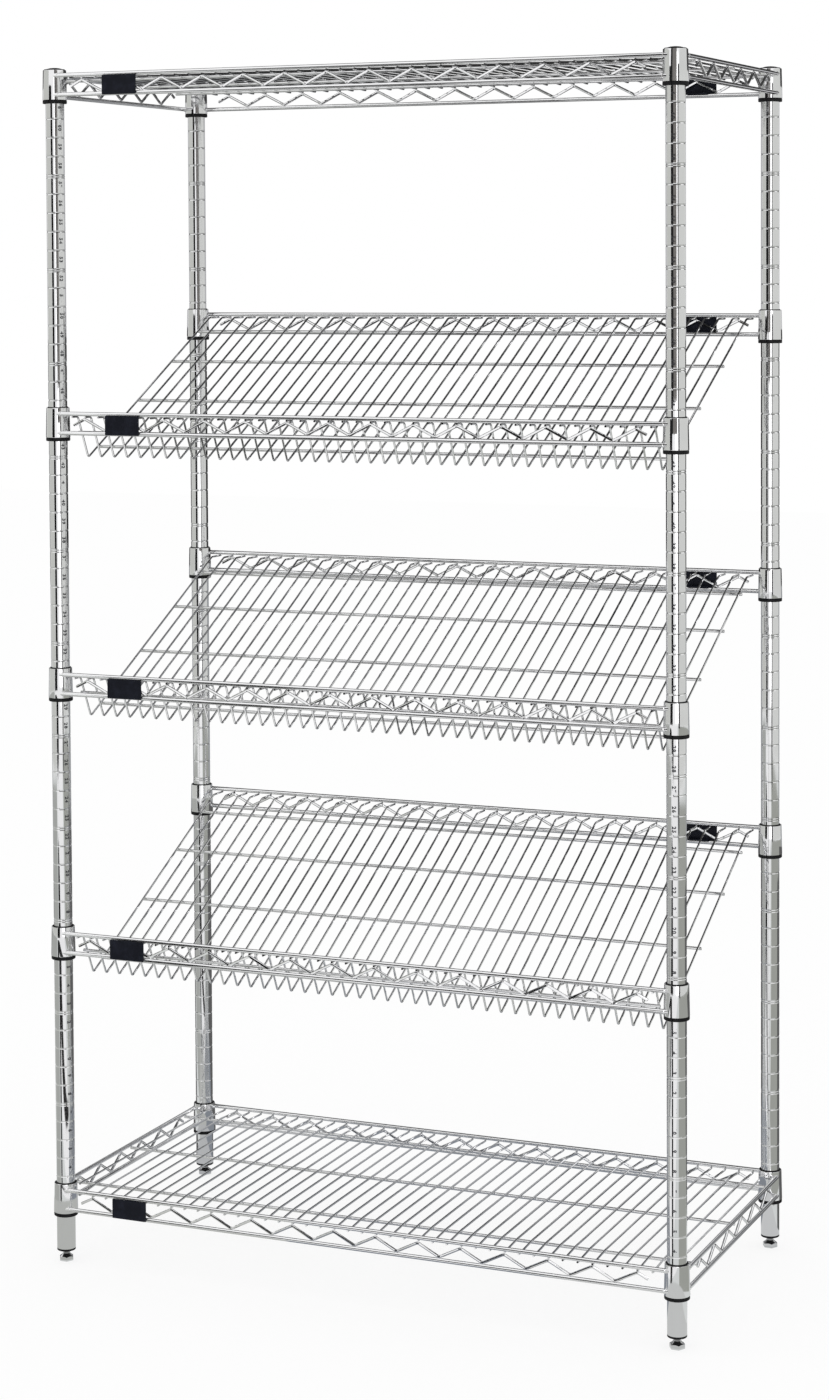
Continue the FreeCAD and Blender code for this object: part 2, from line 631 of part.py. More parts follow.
def make_shelves():
    """Five shelves, each a set of pieces placed at the height of its front groove."""
    sets = make_shelf_sets()
    for shelf, front, rear, plates in SHELVES:
        kind = "flat" if front == rear else "slanted"
        groove = front or last_groove()
        height = FLOOR_TO_POST + " + %d * Sizes.groove_pitch - Sizes.collar_drop" % groove
        for piece, shapes in sets[kind].items():
            label = "%s_%s" % (shelf, piece)
            if piece == "label_plates":
                shapes = shapes[:plates]
            feature = doc.addObject("Part::Feature", label)
            feature.Shape = Part.makeCompound(shapes)
            feature.setExpression(".Placement.Base.z", height)
            node(label, feature)


make_posts()
make_caps()
make_foot_inserts()
make_levelling_feet()
make_shelves()
doc.recompute()

for thing in doc.Objects:
    if "Invalid" in thing.State or "Error" in thing.State:
        raise RuntimeError("%s did not compute" % thing.Label)
for feature in nodes:
    if feature.Shape.isNull() or not feature.Shape.isValid():
        raise RuntimeError("%s has no valid shape" % feature.Label)

os.makedirs("parts", exist_ok=True)
for feature in nodes:
    feature.Shape.exportStep("parts/%s.step" % feature.Label)
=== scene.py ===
"""Looks of a slanted wire shelving unit: chromed posts, frames and wires with black fittings.

Sizes inside the classes are millimetres; a finished mesh is in metres, in the frame of the solids.
"""

import logging
import math
from collections.abc import Iterable, Sequence
from dataclasses import dataclass, field
from enum import Enum

import bmesh
import bpy
from bmesh.types import BMEdge, BMesh, BMVert
from bpy.types import Material, NodeSocket, Object, World
from mathutils import Matrix, Vector

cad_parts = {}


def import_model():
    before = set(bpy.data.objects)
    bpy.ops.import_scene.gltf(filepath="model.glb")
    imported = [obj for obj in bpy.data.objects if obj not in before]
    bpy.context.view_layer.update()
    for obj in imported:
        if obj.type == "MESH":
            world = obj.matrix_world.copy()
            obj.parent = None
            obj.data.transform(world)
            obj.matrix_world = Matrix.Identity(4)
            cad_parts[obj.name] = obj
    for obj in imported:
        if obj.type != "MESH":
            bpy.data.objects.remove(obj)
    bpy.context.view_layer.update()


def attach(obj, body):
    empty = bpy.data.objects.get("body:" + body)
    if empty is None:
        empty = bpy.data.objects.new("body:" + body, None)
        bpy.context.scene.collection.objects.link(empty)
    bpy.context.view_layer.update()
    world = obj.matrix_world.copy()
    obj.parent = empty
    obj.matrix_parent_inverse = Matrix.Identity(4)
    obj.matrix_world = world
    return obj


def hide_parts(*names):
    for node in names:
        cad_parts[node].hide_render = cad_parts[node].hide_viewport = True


LOG = logging.getLogger("shelving")
Pair = tuple[float, float]
Triple = tuple[float, float, float]
MM = 0.001
QUARTER = math.pi / 2
# Millimetres within which two vertices are the same
SAME = 0.0001
# Degrees over which an edge shows as sharp, if nothing else is said
CREASE = 32.0


class Kind(Enum):
    """The two kinds of shelf."""

    FLAT = "flat"
    SLANTED = "slanted"


@dataclass(frozen=True)
class Layout:
    """Places that posts and shelves share."""

    half_width: float = 440.5
    half_depth: float = 209.0
    floor_to_post: float = 17.5
    groove_pitch: float = 25.4
    collar_drop: float = 25.4
    rail_offset: float = 12.0
    rail_height: float = 6.6
    rail_spacing: float = 26.2
    rail_diameter: float = 5.8
    truss_diameter: float = 3.8
    deck_diameter: float = 2.8
    deck_pitch: float = 20.1
    deck_wires: int = 42
    support_diameter: float = 4.2

    @property
    def rail_x(self) -> float:
        """Axis of the right side rails."""
        return self.half_width + self.rail_offset

    @property
    def rail_y(self) -> float:
        """Axis of the rear rails."""
        return self.half_depth + self.rail_offset

    @property
    def top_rail(self) -> float:
        """Height of a top rail's axis over the collar's lower edge."""
        return self.rail_height + self.rail_spacing

    @property
    def under_rail(self) -> float:
        """Height of a top rail's underside over the collar's lower edge."""
        return self.top_rail - self.rail_diameter / 2

    def corners(self) -> dict[str, tuple[int, int]]:
        """Names of the posts with their sides along X and Y."""
        return {
            "front_left": (-1, -1), "front_right": (1, -1), "rear_left": (-1, 1), "rear_right": (1, 1),
        }

    def corner_place(self, name: str, height: float = 0.0) -> Vector:
        """A post's axis at a height over the floor."""
        side_x, side_y = self.corners()[name]
        return Vector((side_x * self.half_width, side_y * self.half_depth, height))

    def collar_base(self, groove: int) -> float:
        """Height of a collar's lower edge when its sleeve grips this groove."""
        return self.floor_to_post + groove * self.groove_pitch - self.collar_drop

    def deck_places(self) -> list[float]:
        """Places along X of the deck wires that run from rail to rail."""
        half = self.deck_wires // 2
        return [(index + 0.5) * self.deck_pitch for index in range(-half, half)]


LAYOUT = Layout()
SHARED_BODY = "frame_and_bottom_shelf"


@dataclass(frozen=True)
class Chrome:
    """Polished chrome plate with faint ripple, haze and hairline polishing marks.

    Attributes:
        name: name of the material.
        colour: reflectance of the plate.
        roughness: lowest roughness of the polish.
        haze: roughness added where the plate is hazy.
        dull_share: share of the reflectance that is left where the plate is dull.
        ripple: height of the ripple in the plate, in metres.
        ripple_scale: how many ripples fit in a metre.
        stretch: scale of the pattern along X, Y and Z.
    """

    name: str
    colour: Triple = (0.87, 0.87, 0.88)
    roughness: float = 0.04
    haze: float = 0.05
    dull_share: float = 0.93
    ripple: float = 0.000005
    ripple_scale: float = 160.0
    stretch: Triple = (1.0, 1.0, 1.0)

    def make(self) -> Material:
        """Builds the material's nodes.

        Returns:
            The material.
        """
        tree = NodeTree(self.name)
        place = tree.coordinates(self.stretch)
        cloud = tree.noise(place, scale=34.0, detail=3.0, rough=0.55)
        marks = tree.noise(place, scale=self.ripple_scale, detail=2.0, rough=0.5)
        tree.roughness(cloud, (0.35, 0.75), (self.roughness, self.roughness + self.haze))
        tree.bump(marks, self.ripple, strength=1.0)
        dull = tuple(self.dull_share * part for part in self.colour)
        tint = tree.ramp(cloud, [(0.25, dull), (0.75, self.colour)])
        tree.link(tint, "Base Color")
        tree.value("Metallic", 1.0)
        return tree.material


@dataclass(frozen=True)
class Moulding:
    """Black moulded plastic with a fine grain, and with scuffs that are rougher and a few times paler."""

    name: str
    colour: Triple = (0.006, 0.006, 0.007)
    roughness: float = 0.42
    gloss: float = 0.15
    scuff: float = 0.15
    paler: float = 2.2
    grain: float = 0.00003

    def make(self) -> Material:
        """Builds the material's nodes.

        Returns:
            The material.
        """
        tree = NodeTree(self.name)
        place = tree.coordinates((1.0, 1.0, 1.0))
        scuffs = tree.noise(place, scale=90.0, detail=4.0, rough=0.6)
        grain = tree.noise(place, scale=2200.0, detail=2.0, rough=0.5)
        pale = tuple(self.paler * part for part in self.colour)
        tree.link(tree.ramp(scuffs, [(0.45, self.colour), (0.85, pale)]), "Base Color")
        tree.roughness(scuffs, (0.3, 0.8), (self.roughness, self.roughness + self.scuff))
        tree.bump(grain, self.grain, strength=0.6)
        tree.value("Specular IOR Level", self.gloss)
        return tree.material


class NodeTree:
    """A material's nodes with a Principled shader at the end."""

    def __init__(self, name: str) -> None:
        """Starts a material.

        Args:
            name: name of the material.
        """
        self.material = bpy.data.materials.new(name)
        self.material.use_nodes = True
        self.nodes = self.material.node_tree.nodes
        self.links = self.material.node_tree.links
        self.shader = self.nodes["Principled BSDF"]

    def coordinates(self, scale: Triple) -> NodeSocket:
        """Object coordinates.

        Args:
            scale: scale along each axis.

        Returns:
            The coordinates.
        """
        source = self.nodes.new("ShaderNodeTexCoord")
        mapping = self.nodes.new("ShaderNodeMapping")
        mapping.inputs["Scale"].default_value = scale
        self.links.new(source.outputs["Object"], mapping.inputs["Vector"])
        return mapping.outputs["Vector"]

    def noise(self, place: NodeSocket, scale: float, detail: float, rough: float) -> NodeSocket:
        """A noise pattern.

        Args:
            place: the coordinates that it reads.
            scale: its scale, per metre.
            detail: its octaves.
            rough: share of the finer octaves.

        Returns:
            The pattern's factor.
        """
        node = self.nodes.new("ShaderNodeTexNoise")
        for name, number in (("Scale", scale), ("Detail", detail), ("Roughness", rough)):
            node.inputs[name].default_value = number
        self.links.new(place, node.inputs["Vector"])
        return node.outputs["Fac"]

    def roughness(self, value: NodeSocket, source: Pair, goal: Pair) -> None:
        """Lets a value drive the roughness.

        Args:
            value: the value.
            source: two of its values.
            goal: the roughness that each of them stands for.
        """
        node = self.nodes.new("ShaderNodeMapRange")
        for name, number in zip(("From Min", "From Max", "To Min", "To Max"), source + goal):
            node.inputs[name].default_value = number
        self.links.new(value, node.inputs["Value"])
        self.link(node.outputs["Result"], "Roughness")

    def ramp(self, value: NodeSocket, stops: Sequence[tuple[float, tuple[float, ...]]]) -> NodeSocket:
        """A colour between two for each value.

        Args:
            value: the value that is coloured.
            stops: two pairs of a place and a colour.

        Returns:
            The colour.
        """
        node = self.nodes.new("ShaderNodeValToRGB")
        for element, (place, colour) in zip(node.color_ramp.elements, stops):
            element.position = place
            element.color = (*colour, 1.0)
        self.links.new(value, node.inputs["Fac"])
        return node.outputs["Color"]

    def bump(self, height: NodeSocket, distance: float, strength: float) -> None:
        """Bumps the surface by a pattern.

        Args:
            height: the pattern.
            distance: its height in metres.
            strength: how much of it shows.
        """
        node = self.nodes.new("ShaderNodeBump")
        node.inputs["Distance"].default_value = distance
        node.inputs["Strength"].default_value = strength
        self.links.new(height, node.inputs["Height"])
        self.link(node.outputs["Normal"], "Normal")

    def link(self, socket: NodeSocket, name: str) -> None:
        """Feeds one of the shader's sockets."""
        self.links.new(socket, self.shader.inputs[name])

    def value(self, name: str, number: float) -> None:
        """Sets one of the shader's sockets."""
        self.shader.inputs[name].default_value = number


@dataclass(frozen=True)
class Finish:
    """A material with the record's slot that it stands for."""

    slot: str
    recipe: Chrome | Moulding


class Finishes(Enum):
    """The unit's finishes."""

    POST = Finish("post_chrome", Chrome("PostChrome", stretch=(1.0, 1.0, 0.25)))
    NUMBER = Finish("post_chrome", Chrome("StampedNumber", colour=(0.10, 0.10, 0.11), roughness=0.45))
    COLLAR = Finish("collar_chrome", Chrome("CollarChrome", ripple=0.00002, haze=0.08))
    RAIL = Finish("rail_chrome", Chrome("RailChrome", colour=(0.95, 0.95, 0.96)))
    TRUSS = Finish("truss_chrome", Chrome("TrussChrome", colour=(0.95, 0.95, 0.96)))
    DECK = Finish("deck_chrome", Chrome("DeckChrome", roughness=0.06))
    SUPPORT = Finish("support_chrome", Chrome("SupportChrome"))
    FOOT = Finish("foot_chrome", Chrome("FootChrome", colour=(0.8, 0.8, 0.81), haze=0.02))
    SLEEVE = Finish("sleeve_plastic", Moulding("SleevePlastic"))
    CAP = Finish("cap_plastic", Moulding("CapPlastic", roughness=0.3, gloss=0.08))
    INSERT = Finish("insert_plastic", Moulding("InsertPlastic", roughness=0.3))
    LABEL = Finish("label_plastic", Moulding("LabelPlastic", colour=(0.005, 0.006, 0.011), roughness=0.3))

    def material(self) -> Material:
        """The finish's material, made when it is first asked for."""
        found = bpy.data.materials.get(self.value.recipe.name)
        return found or self.value.recipe.make()


def edges_of(items: Iterable[object]) -> list[BMEdge]:
    """The edges among what an operator gives back."""
    return [item for item in items if isinstance(item, BMEdge)]


def verts_of(items: Iterable[object]) -> list[BMVert]:
    """The vertices among what an operator gives back."""
    return [item for item in items if isinstance(item, BMVert)]


def bevel(mesh: BMesh, edges: Sequence[BMEdge], offset: float, segments: int) -> None:
    """Rounds some edges of a mesh over this offset and in this many steps."""
    bmesh.ops.bevel(
        mesh, geom=edges, offset=offset, offset_type="OFFSET", segments=segments, profile=0.5,
        affect="EDGES", clamp_overlap=True, material=-1,
    )


def added(name: str, mesh: BMesh, material: Material) -> Object:
    """Adds an object to the scene.

    Args:
        name: the object's name.
        mesh: its shape, which is freed.
        material: its material.

    Returns:
        The object.
    """
    data = bpy.data.meshes.new(name)
    mesh.to_mesh(data)
    mesh.free()
    data.materials.append(material)
    thing = bpy.data.objects.new(name, data)
    bpy.context.scene.collection.objects.link(thing)
    return thing


class Piece:
    """A mesh in millimetres that becomes one object of the scene."""

    def __init__(self) -> None:
        """Starts an empty mesh."""
        self.mesh: BMesh = bmesh.new()

    def rod(self, start: Sequence[float], end: Sequence[float], diameter: float, sides: int) -> None:
        """Adds a straight round bar with flat ends.

        Args:
            start: centre of one end.
            end: centre of the other end.
            diameter: diameter of the bar.
            sides: number of its sides.
        """
        along = Vector(end) - Vector(start)
        turn = Vector((0, 0, 1)).rotation_difference(along).to_matrix().to_4x4()
        bmesh.ops.create_cone(
            self.mesh, cap_ends=True, segments=sides, radius1=diameter / 2, radius2=diameter / 2,
            depth=along.length, matrix=Matrix.Translation(Vector(start) + along / 2) @ turn,
        )

    def turned(
        self, outline: Sequence[Pair], steps: int, angle: float = math.tau, start: float = 0.0
    ) -> "Piece":
        """Turns a closed outline of (radius, height) about Z.

        Args:
            outline: corners of the outline.
            steps: number of steps round.
            angle: how far it turns.
            start: where it starts, from +X.

        Returns:
            The piece itself.
        """
        before = set(self.mesh.verts)
        verts = [self.mesh.verts.new((radius, 0, height)) for radius, height in outline]
        edges = [self.mesh.edges.new(pair) for pair in zip(verts, verts[1:] + verts[:1])]
        bmesh.ops.rotate(self.mesh, verts=verts, cent=(0, 0, 0), matrix=Matrix.Rotation(start, 3, "Z"))
        whole = math.isclose(angle, math.tau)
        swept = bmesh.ops.spin(
            self.mesh, geom=verts + edges, cent=(0, 0, 0), axis=(0, 0, 1), dvec=(0, 0, 0),
            angle=angle, steps=steps, use_merge=whole,
        )
        if not whole:
            bmesh.ops.contextual_create(self.mesh, geom=edges)
            bmesh.ops.contextual_create(self.mesh, geom=edges_of(swept["geom_last"]))
        new = [vert for vert in self.mesh.verts if vert not in before]
        bmesh.ops.remove_doubles(self.mesh, verts=new, dist=SAME)
        return self

    def bent(
        self, corners: Sequence[Sequence[float]], radii: Sequence[float], diameter: float, sides: int,
        step: float,
    ) -> None:
        """Feeds and bends a round wire in the XZ plane, as a wire former does.

        Args:
            corners: corners of its path as (x, z).
            radii: bend radius at each inner corner.
            diameter: diameter of the wire.
            sides: number of its sides.
            step: degrees of bend that one ring spans.
        """
        points = [Vector(corner) for corner in corners]
        heading = (points[1] - points[0]).normalized()
        turn = Matrix.Rotation(QUARTER - math.atan2(heading.y, heading.x), 4, "Y")
        ring = bmesh.ops.create_circle(
            self.mesh, cap_ends=True, segments=sides, radius=diameter / 2,
            matrix=Matrix.Translation((points[0].x, 0, points[0].y)) @ turn,
        )["verts"]
        edges = list({edge for vert in ring for edge in vert.link_edges})
        here = points[0]
        for corner, after, radius in zip(points[1:], points[2:], radii):
            leaving = (after - corner).normalized()
            turn = math.atan2(heading.x * leaving.y - heading.y * leaving.x, heading.dot(leaving))
            setback = radius * math.tan(abs(turn) / 2)
            edges = self.fed(edges, corner - heading * setback - here)
            here = corner - heading * setback
            side = math.copysign(1.0, turn)
            centre = here + Vector((-heading.y, heading.x)) * radius * side
            swept = bmesh.ops.spin(
                self.mesh, geom=edges, cent=(centre.x, 0, centre.y), axis=(0, -side, 0), dvec=(0, 0, 0),
                angle=abs(turn), steps=max(1, round(abs(math.degrees(turn)) / step)), use_merge=False,
            )
            edges = edges_of(swept["geom_last"])
            here = corner + leaving * setback
            heading = leaving
        edges = self.fed(edges, points[-1] - here)
        bmesh.ops.contextual_create(self.mesh, geom=edges)

    def fed(self, edges: list[BMEdge], way: Vector) -> list[BMEdge]:
        """Feeds the wire straight on.

        Args:
            edges: the ring at the wire's end.
            way: how far it goes in the XZ plane.

        Returns:
            The new ring.
        """
        new = bmesh.ops.extrude_edge_only(self.mesh, edges=edges)["geom"]
        bmesh.ops.translate(self.mesh, verts=verts_of(new), vec=(way.x, 0, way.y))
        return edges_of(new)

    def take(
        self, other: "Piece", places: Iterable[Matrix] = (Matrix.Identity(4),), keep: bool = False
    ) -> None:
        """Adds copies of another piece's mesh.

        Args:
            other: the piece that is copied.
            places: where its copies go.
            keep: whether it will be copied again.
        """
        for place in places:
            data = bpy.data.meshes.new("part")
            other.mesh.to_mesh(data)
            data.transform(place)
            self.mesh.from_mesh(data)
            bpy.data.meshes.remove(data)
        if not keep:
            other.mesh.free()

    def finish(
        self, name: str, body: str, finish: Finishes, *nodes: str, crease: float = CREASE,
        closed: bool = True,
    ) -> None:
        """Makes the object, dresses it and lets it ride on its body.

        Args:
            name: the object's name.
            body: body that it moves with.
            finish: its finish.
            nodes: solids that it stands for.
            crease: angle in degrees over which an edge shows as sharp.
            closed: whether its shells are closed, so that their faces can be turned outwards.
        """
        mesh = self.mesh
        if closed:
            bmesh.ops.recalc_face_normals(mesh, faces=mesh.faces[:])
        for face in mesh.faces:
            face.smooth = True
        for edge in mesh.edges:
            edge.smooth = edge.calc_face_angle(0.0) < math.radians(crease)
        bmesh.ops.scale(mesh, vec=(MM, MM, MM), verts=mesh.verts[:])
        thing = added(name, mesh, finish.material())
        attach(thing, body)
        if nodes:
            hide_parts(*nodes)
        LOG.info("%s: %d faces on %s", name, len(thing.data.polygons), body)


@dataclass
class Posts:
    """Four grooved tubes with caps, foot inserts, levelling feet and stamped numbers."""

    body: str = SHARED_BODY
    length: float = 1614.0
    radius: float = 12.7
    wall: float = 1.2
    chamfer: float = 0.4
    plug_gap: float = 0.05
    groove_width: float = 2.4
    groove_floor: float = 0.6
    groove_depth: float = 0.45
    double_gap: float = 3.0
    foot_flats: float = 18.0
    foot_height: float = 8.0
    foot_chamfer: float = 2.6
    foot_shoulder: float = 6.5
    stud_radius: float = 4.75
    stud_length: float = 46.0
    thread_pitch: float = 1.1
    thread_depth: float = 0.4
    grooves: tuple[int, int] = (3, 63)
    steps: int = 40
    foot_steps: int = 72
    crease: float = 20.0
    number_height: float = 5.0
    number_weight: float = 0.34
    number_spacing: float = 1.25
    number_gap: float = 0.03
    capital_share: float = 0.7
    numbers_at: dict[str, Pair] = field(default_factory=lambda: {
        "front_left": (-29.0, 13.0),
        "front_right": (-86.0, 8.4),
        "rear_left": (96.0, 8.9),
        "rear_right": (72.0, 13.0),
    })

    @property
    def bore(self) -> float:
        """Radius inside the tube."""
        return self.radius - self.wall

    @property
    def plug(self) -> float:
        """Radius of the cap's and the insert's plugs."""
        return self.bore - self.plug_gap

    def build(self) -> None:
        """Builds all four posts with what is on them."""
        tube, cap, insert, foot = self.tube(), self.cap(), self.insert(), self.foot()
        for name in LAYOUT.corners():
            base = LAYOUT.corner_place(name, LAYOUT.floor_to_post)
            top = LAYOUT.corner_place(name, LAYOUT.floor_to_post + self.length)
            self.put(tube, "post_" + name, base, self.body, Finishes.POST)
            self.put(cap, "post_cap_" + name, top, self.body, Finishes.CAP)
            self.put(insert, "foot_insert_" + name, base, self.body, Finishes.INSERT)
            label = "levelling_foot_" + name
            self.put(foot, label, LAYOUT.corner_place(name), label, Finishes.FOOT)
            self.numbers(name)
        for master in (tube, cap, insert, foot):
            master.mesh.free()

    def put(self, master: Piece, node: str, place: Vector, body: str, finish: Finishes) -> None:
        """Places a copy of a master piece for one solid.

        Args:
            master: the piece that is copied.
            node: the solid that the copy stands for.
            place: where the copy goes.
            body: body that it moves with.
            finish: its finish.
        """
        piece = Piece()
        piece.take(master, [Matrix.Translation(place)], keep=True)
        piece.finish(node + "_piece", body, finish, node, crease=self.crease)

    def tube(self) -> Piece:
        """A grooved tube that stands on height 0.

        Returns:
            The tube.
        """
        outer, floor, edge = self.radius, self.radius - self.groove_depth, self.chamfer
        mouth, bed = self.groove_width / 2, self.groove_floor / 2
        outline = [(self.bore, 0.0), (outer - edge, 0.0), (outer, edge)]
        for number in range(self.grooves[0], self.grooves[1] + 1):
            height = number * LAYOUT.groove_pitch
            lines = [height - self.double_gap, height] if number % 5 == 3 else [height]
            for line in lines:
                outline += [(outer, line - mouth), (floor, line - bed)]
                outline += [(floor, line + bed), (outer, line + mouth)]
        outline += [(outer, self.length - edge), (outer - edge, self.length), (self.bore, self.length)]
        return Piece().turned(outline, self.steps)

    def cap(self) -> Piece:
        """A low domed cap with its plug, from the top of the tube.

        Returns:
            The cap.
        """
        plug = self.plug
        return Piece().turned([
            (0.0, 4.4), (3.4, 4.3), (6.6, 3.95), (9.2, 3.3), (11.2, 2.4), (12.3, 1.4), (12.7, 0.7),
            (12.7, 0.0), (plug, 0.0), (plug, -13.2), (plug - 0.8, -14.0), (plug - 1.8, -14.0),
            (plug - 1.8, -1.8), (0.0, -1.8),
        ], self.steps)

    def insert(self) -> Piece:
        """The foot insert, its lip below height 0.

        Returns:
            The insert.
        """
        plug = self.plug
        return Piece().turned([
            (5.0, -4.5), (7.1, -4.5), (7.8, -4.3), (12.3, -2.5), (12.7, -2.1), (12.7, 0.0),
            (plug, 0.0), (plug, 33.0), (plug - 1.0, 34.0), (5.0, 34.0),
        ], self.steps)

    def foot(self) -> Piece:
        """A hexagon milled from a turned bar, with a chamfer, a shoulder and a stud with plain rings.

        Returns:
            The foot, standing on height 0.
        """
        flat, tip = self.foot_flats / 2, self.foot_flats / math.sqrt(3)
        top, chamfer = self.foot_height, self.foot_chamfer
        shoulder, stud = self.foot_shoulder, self.stud_radius
        outline = [
            (0.0, 0.0), (tip - 0.35, 0.0), (tip, 0.35), (tip, top - chamfer), (shoulder, top),
            (stud, top + 2.2),
        ]
        height, end = top + 2.8, top + self.stud_length
        while height < end - 1.5:
            outline += [(stud, height), (stud - self.thread_depth, height + self.thread_pitch / 2)]
            height += self.thread_pitch
        outline += [(stud - 0.7, end), (0.0, end)]
        piece = Piece().turned(outline, self.foot_steps)
        for vert in piece.mesh.verts:
            reach = math.hypot(vert.co.x, vert.co.y)
            if reach < tip - 0.5 or vert.co.z > top - chamfer + 0.1:
                continue
            around = math.atan2(vert.co.y, vert.co.x) % math.radians(60)
            milled = tip - flat / math.cos(around - math.radians(30))
            if vert.co.z > 1.0:
                vert.co.z += chamfer * milled / (tip - shoulder)
            vert.co.xy *= (reach - milled) / reach
        return piece

    def numbers(self, name: str) -> None:
        """Stamps the groove numbers up a post, each reading down the tube.

        Args:
            name: the post's name.
        """
        piece = Piece()
        turn, rise = self.numbers_at[name]
        for number in range(self.grooves[0] + 1, self.grooves[1]):
            curve = bpy.data.curves.new("number", "FONT")
            curve.body = str(number)
            curve.size = self.number_height / self.capital_share
            curve.align_x = "CENTER"
            curve.space_character = self.number_spacing
            curve.offset = self.number_weight
            curve.resolution_u = 2
            text = bpy.data.objects.new("number", curve)
            data = bpy.data.meshes.new_from_object(text)
            bpy.data.objects.remove(text)
            bpy.data.curves.remove(curve)
            before = len(piece.mesh.verts)
            piece.mesh.from_mesh(data)
            bpy.data.meshes.remove(data)
            piece.mesh.verts.ensure_lookup_table()
            for vert in piece.mesh.verts[before:]:
                along, up = vert.co.x, vert.co.y - self.number_height / 2
                angle = math.radians(turn) + up / self.radius
                reach = self.radius + self.number_gap
                height = number * LAYOUT.groove_pitch + rise - along
                vert.co = (reach * math.cos(angle), reach * math.sin(angle), height)
        place = LAYOUT.corner_place(name, LAYOUT.floor_to_post)
        bmesh.ops.translate(piece.mesh, vec=place, verts=piece.mesh.verts[:])
        piece.mesh.normal_update()
        piece.finish("post_numbers_" + name, self.body, Finishes.NUMBER, closed=False)


def at(x: float = 0.0, y: float = 0.0, z: float = 0.0, turn: float = 0.0) -> Matrix:
    """A move after a turn in degrees about Z."""
    return Matrix.Translation((x, y, z)) @ Matrix.Rotation(math.radians(turn), 4, "Z")


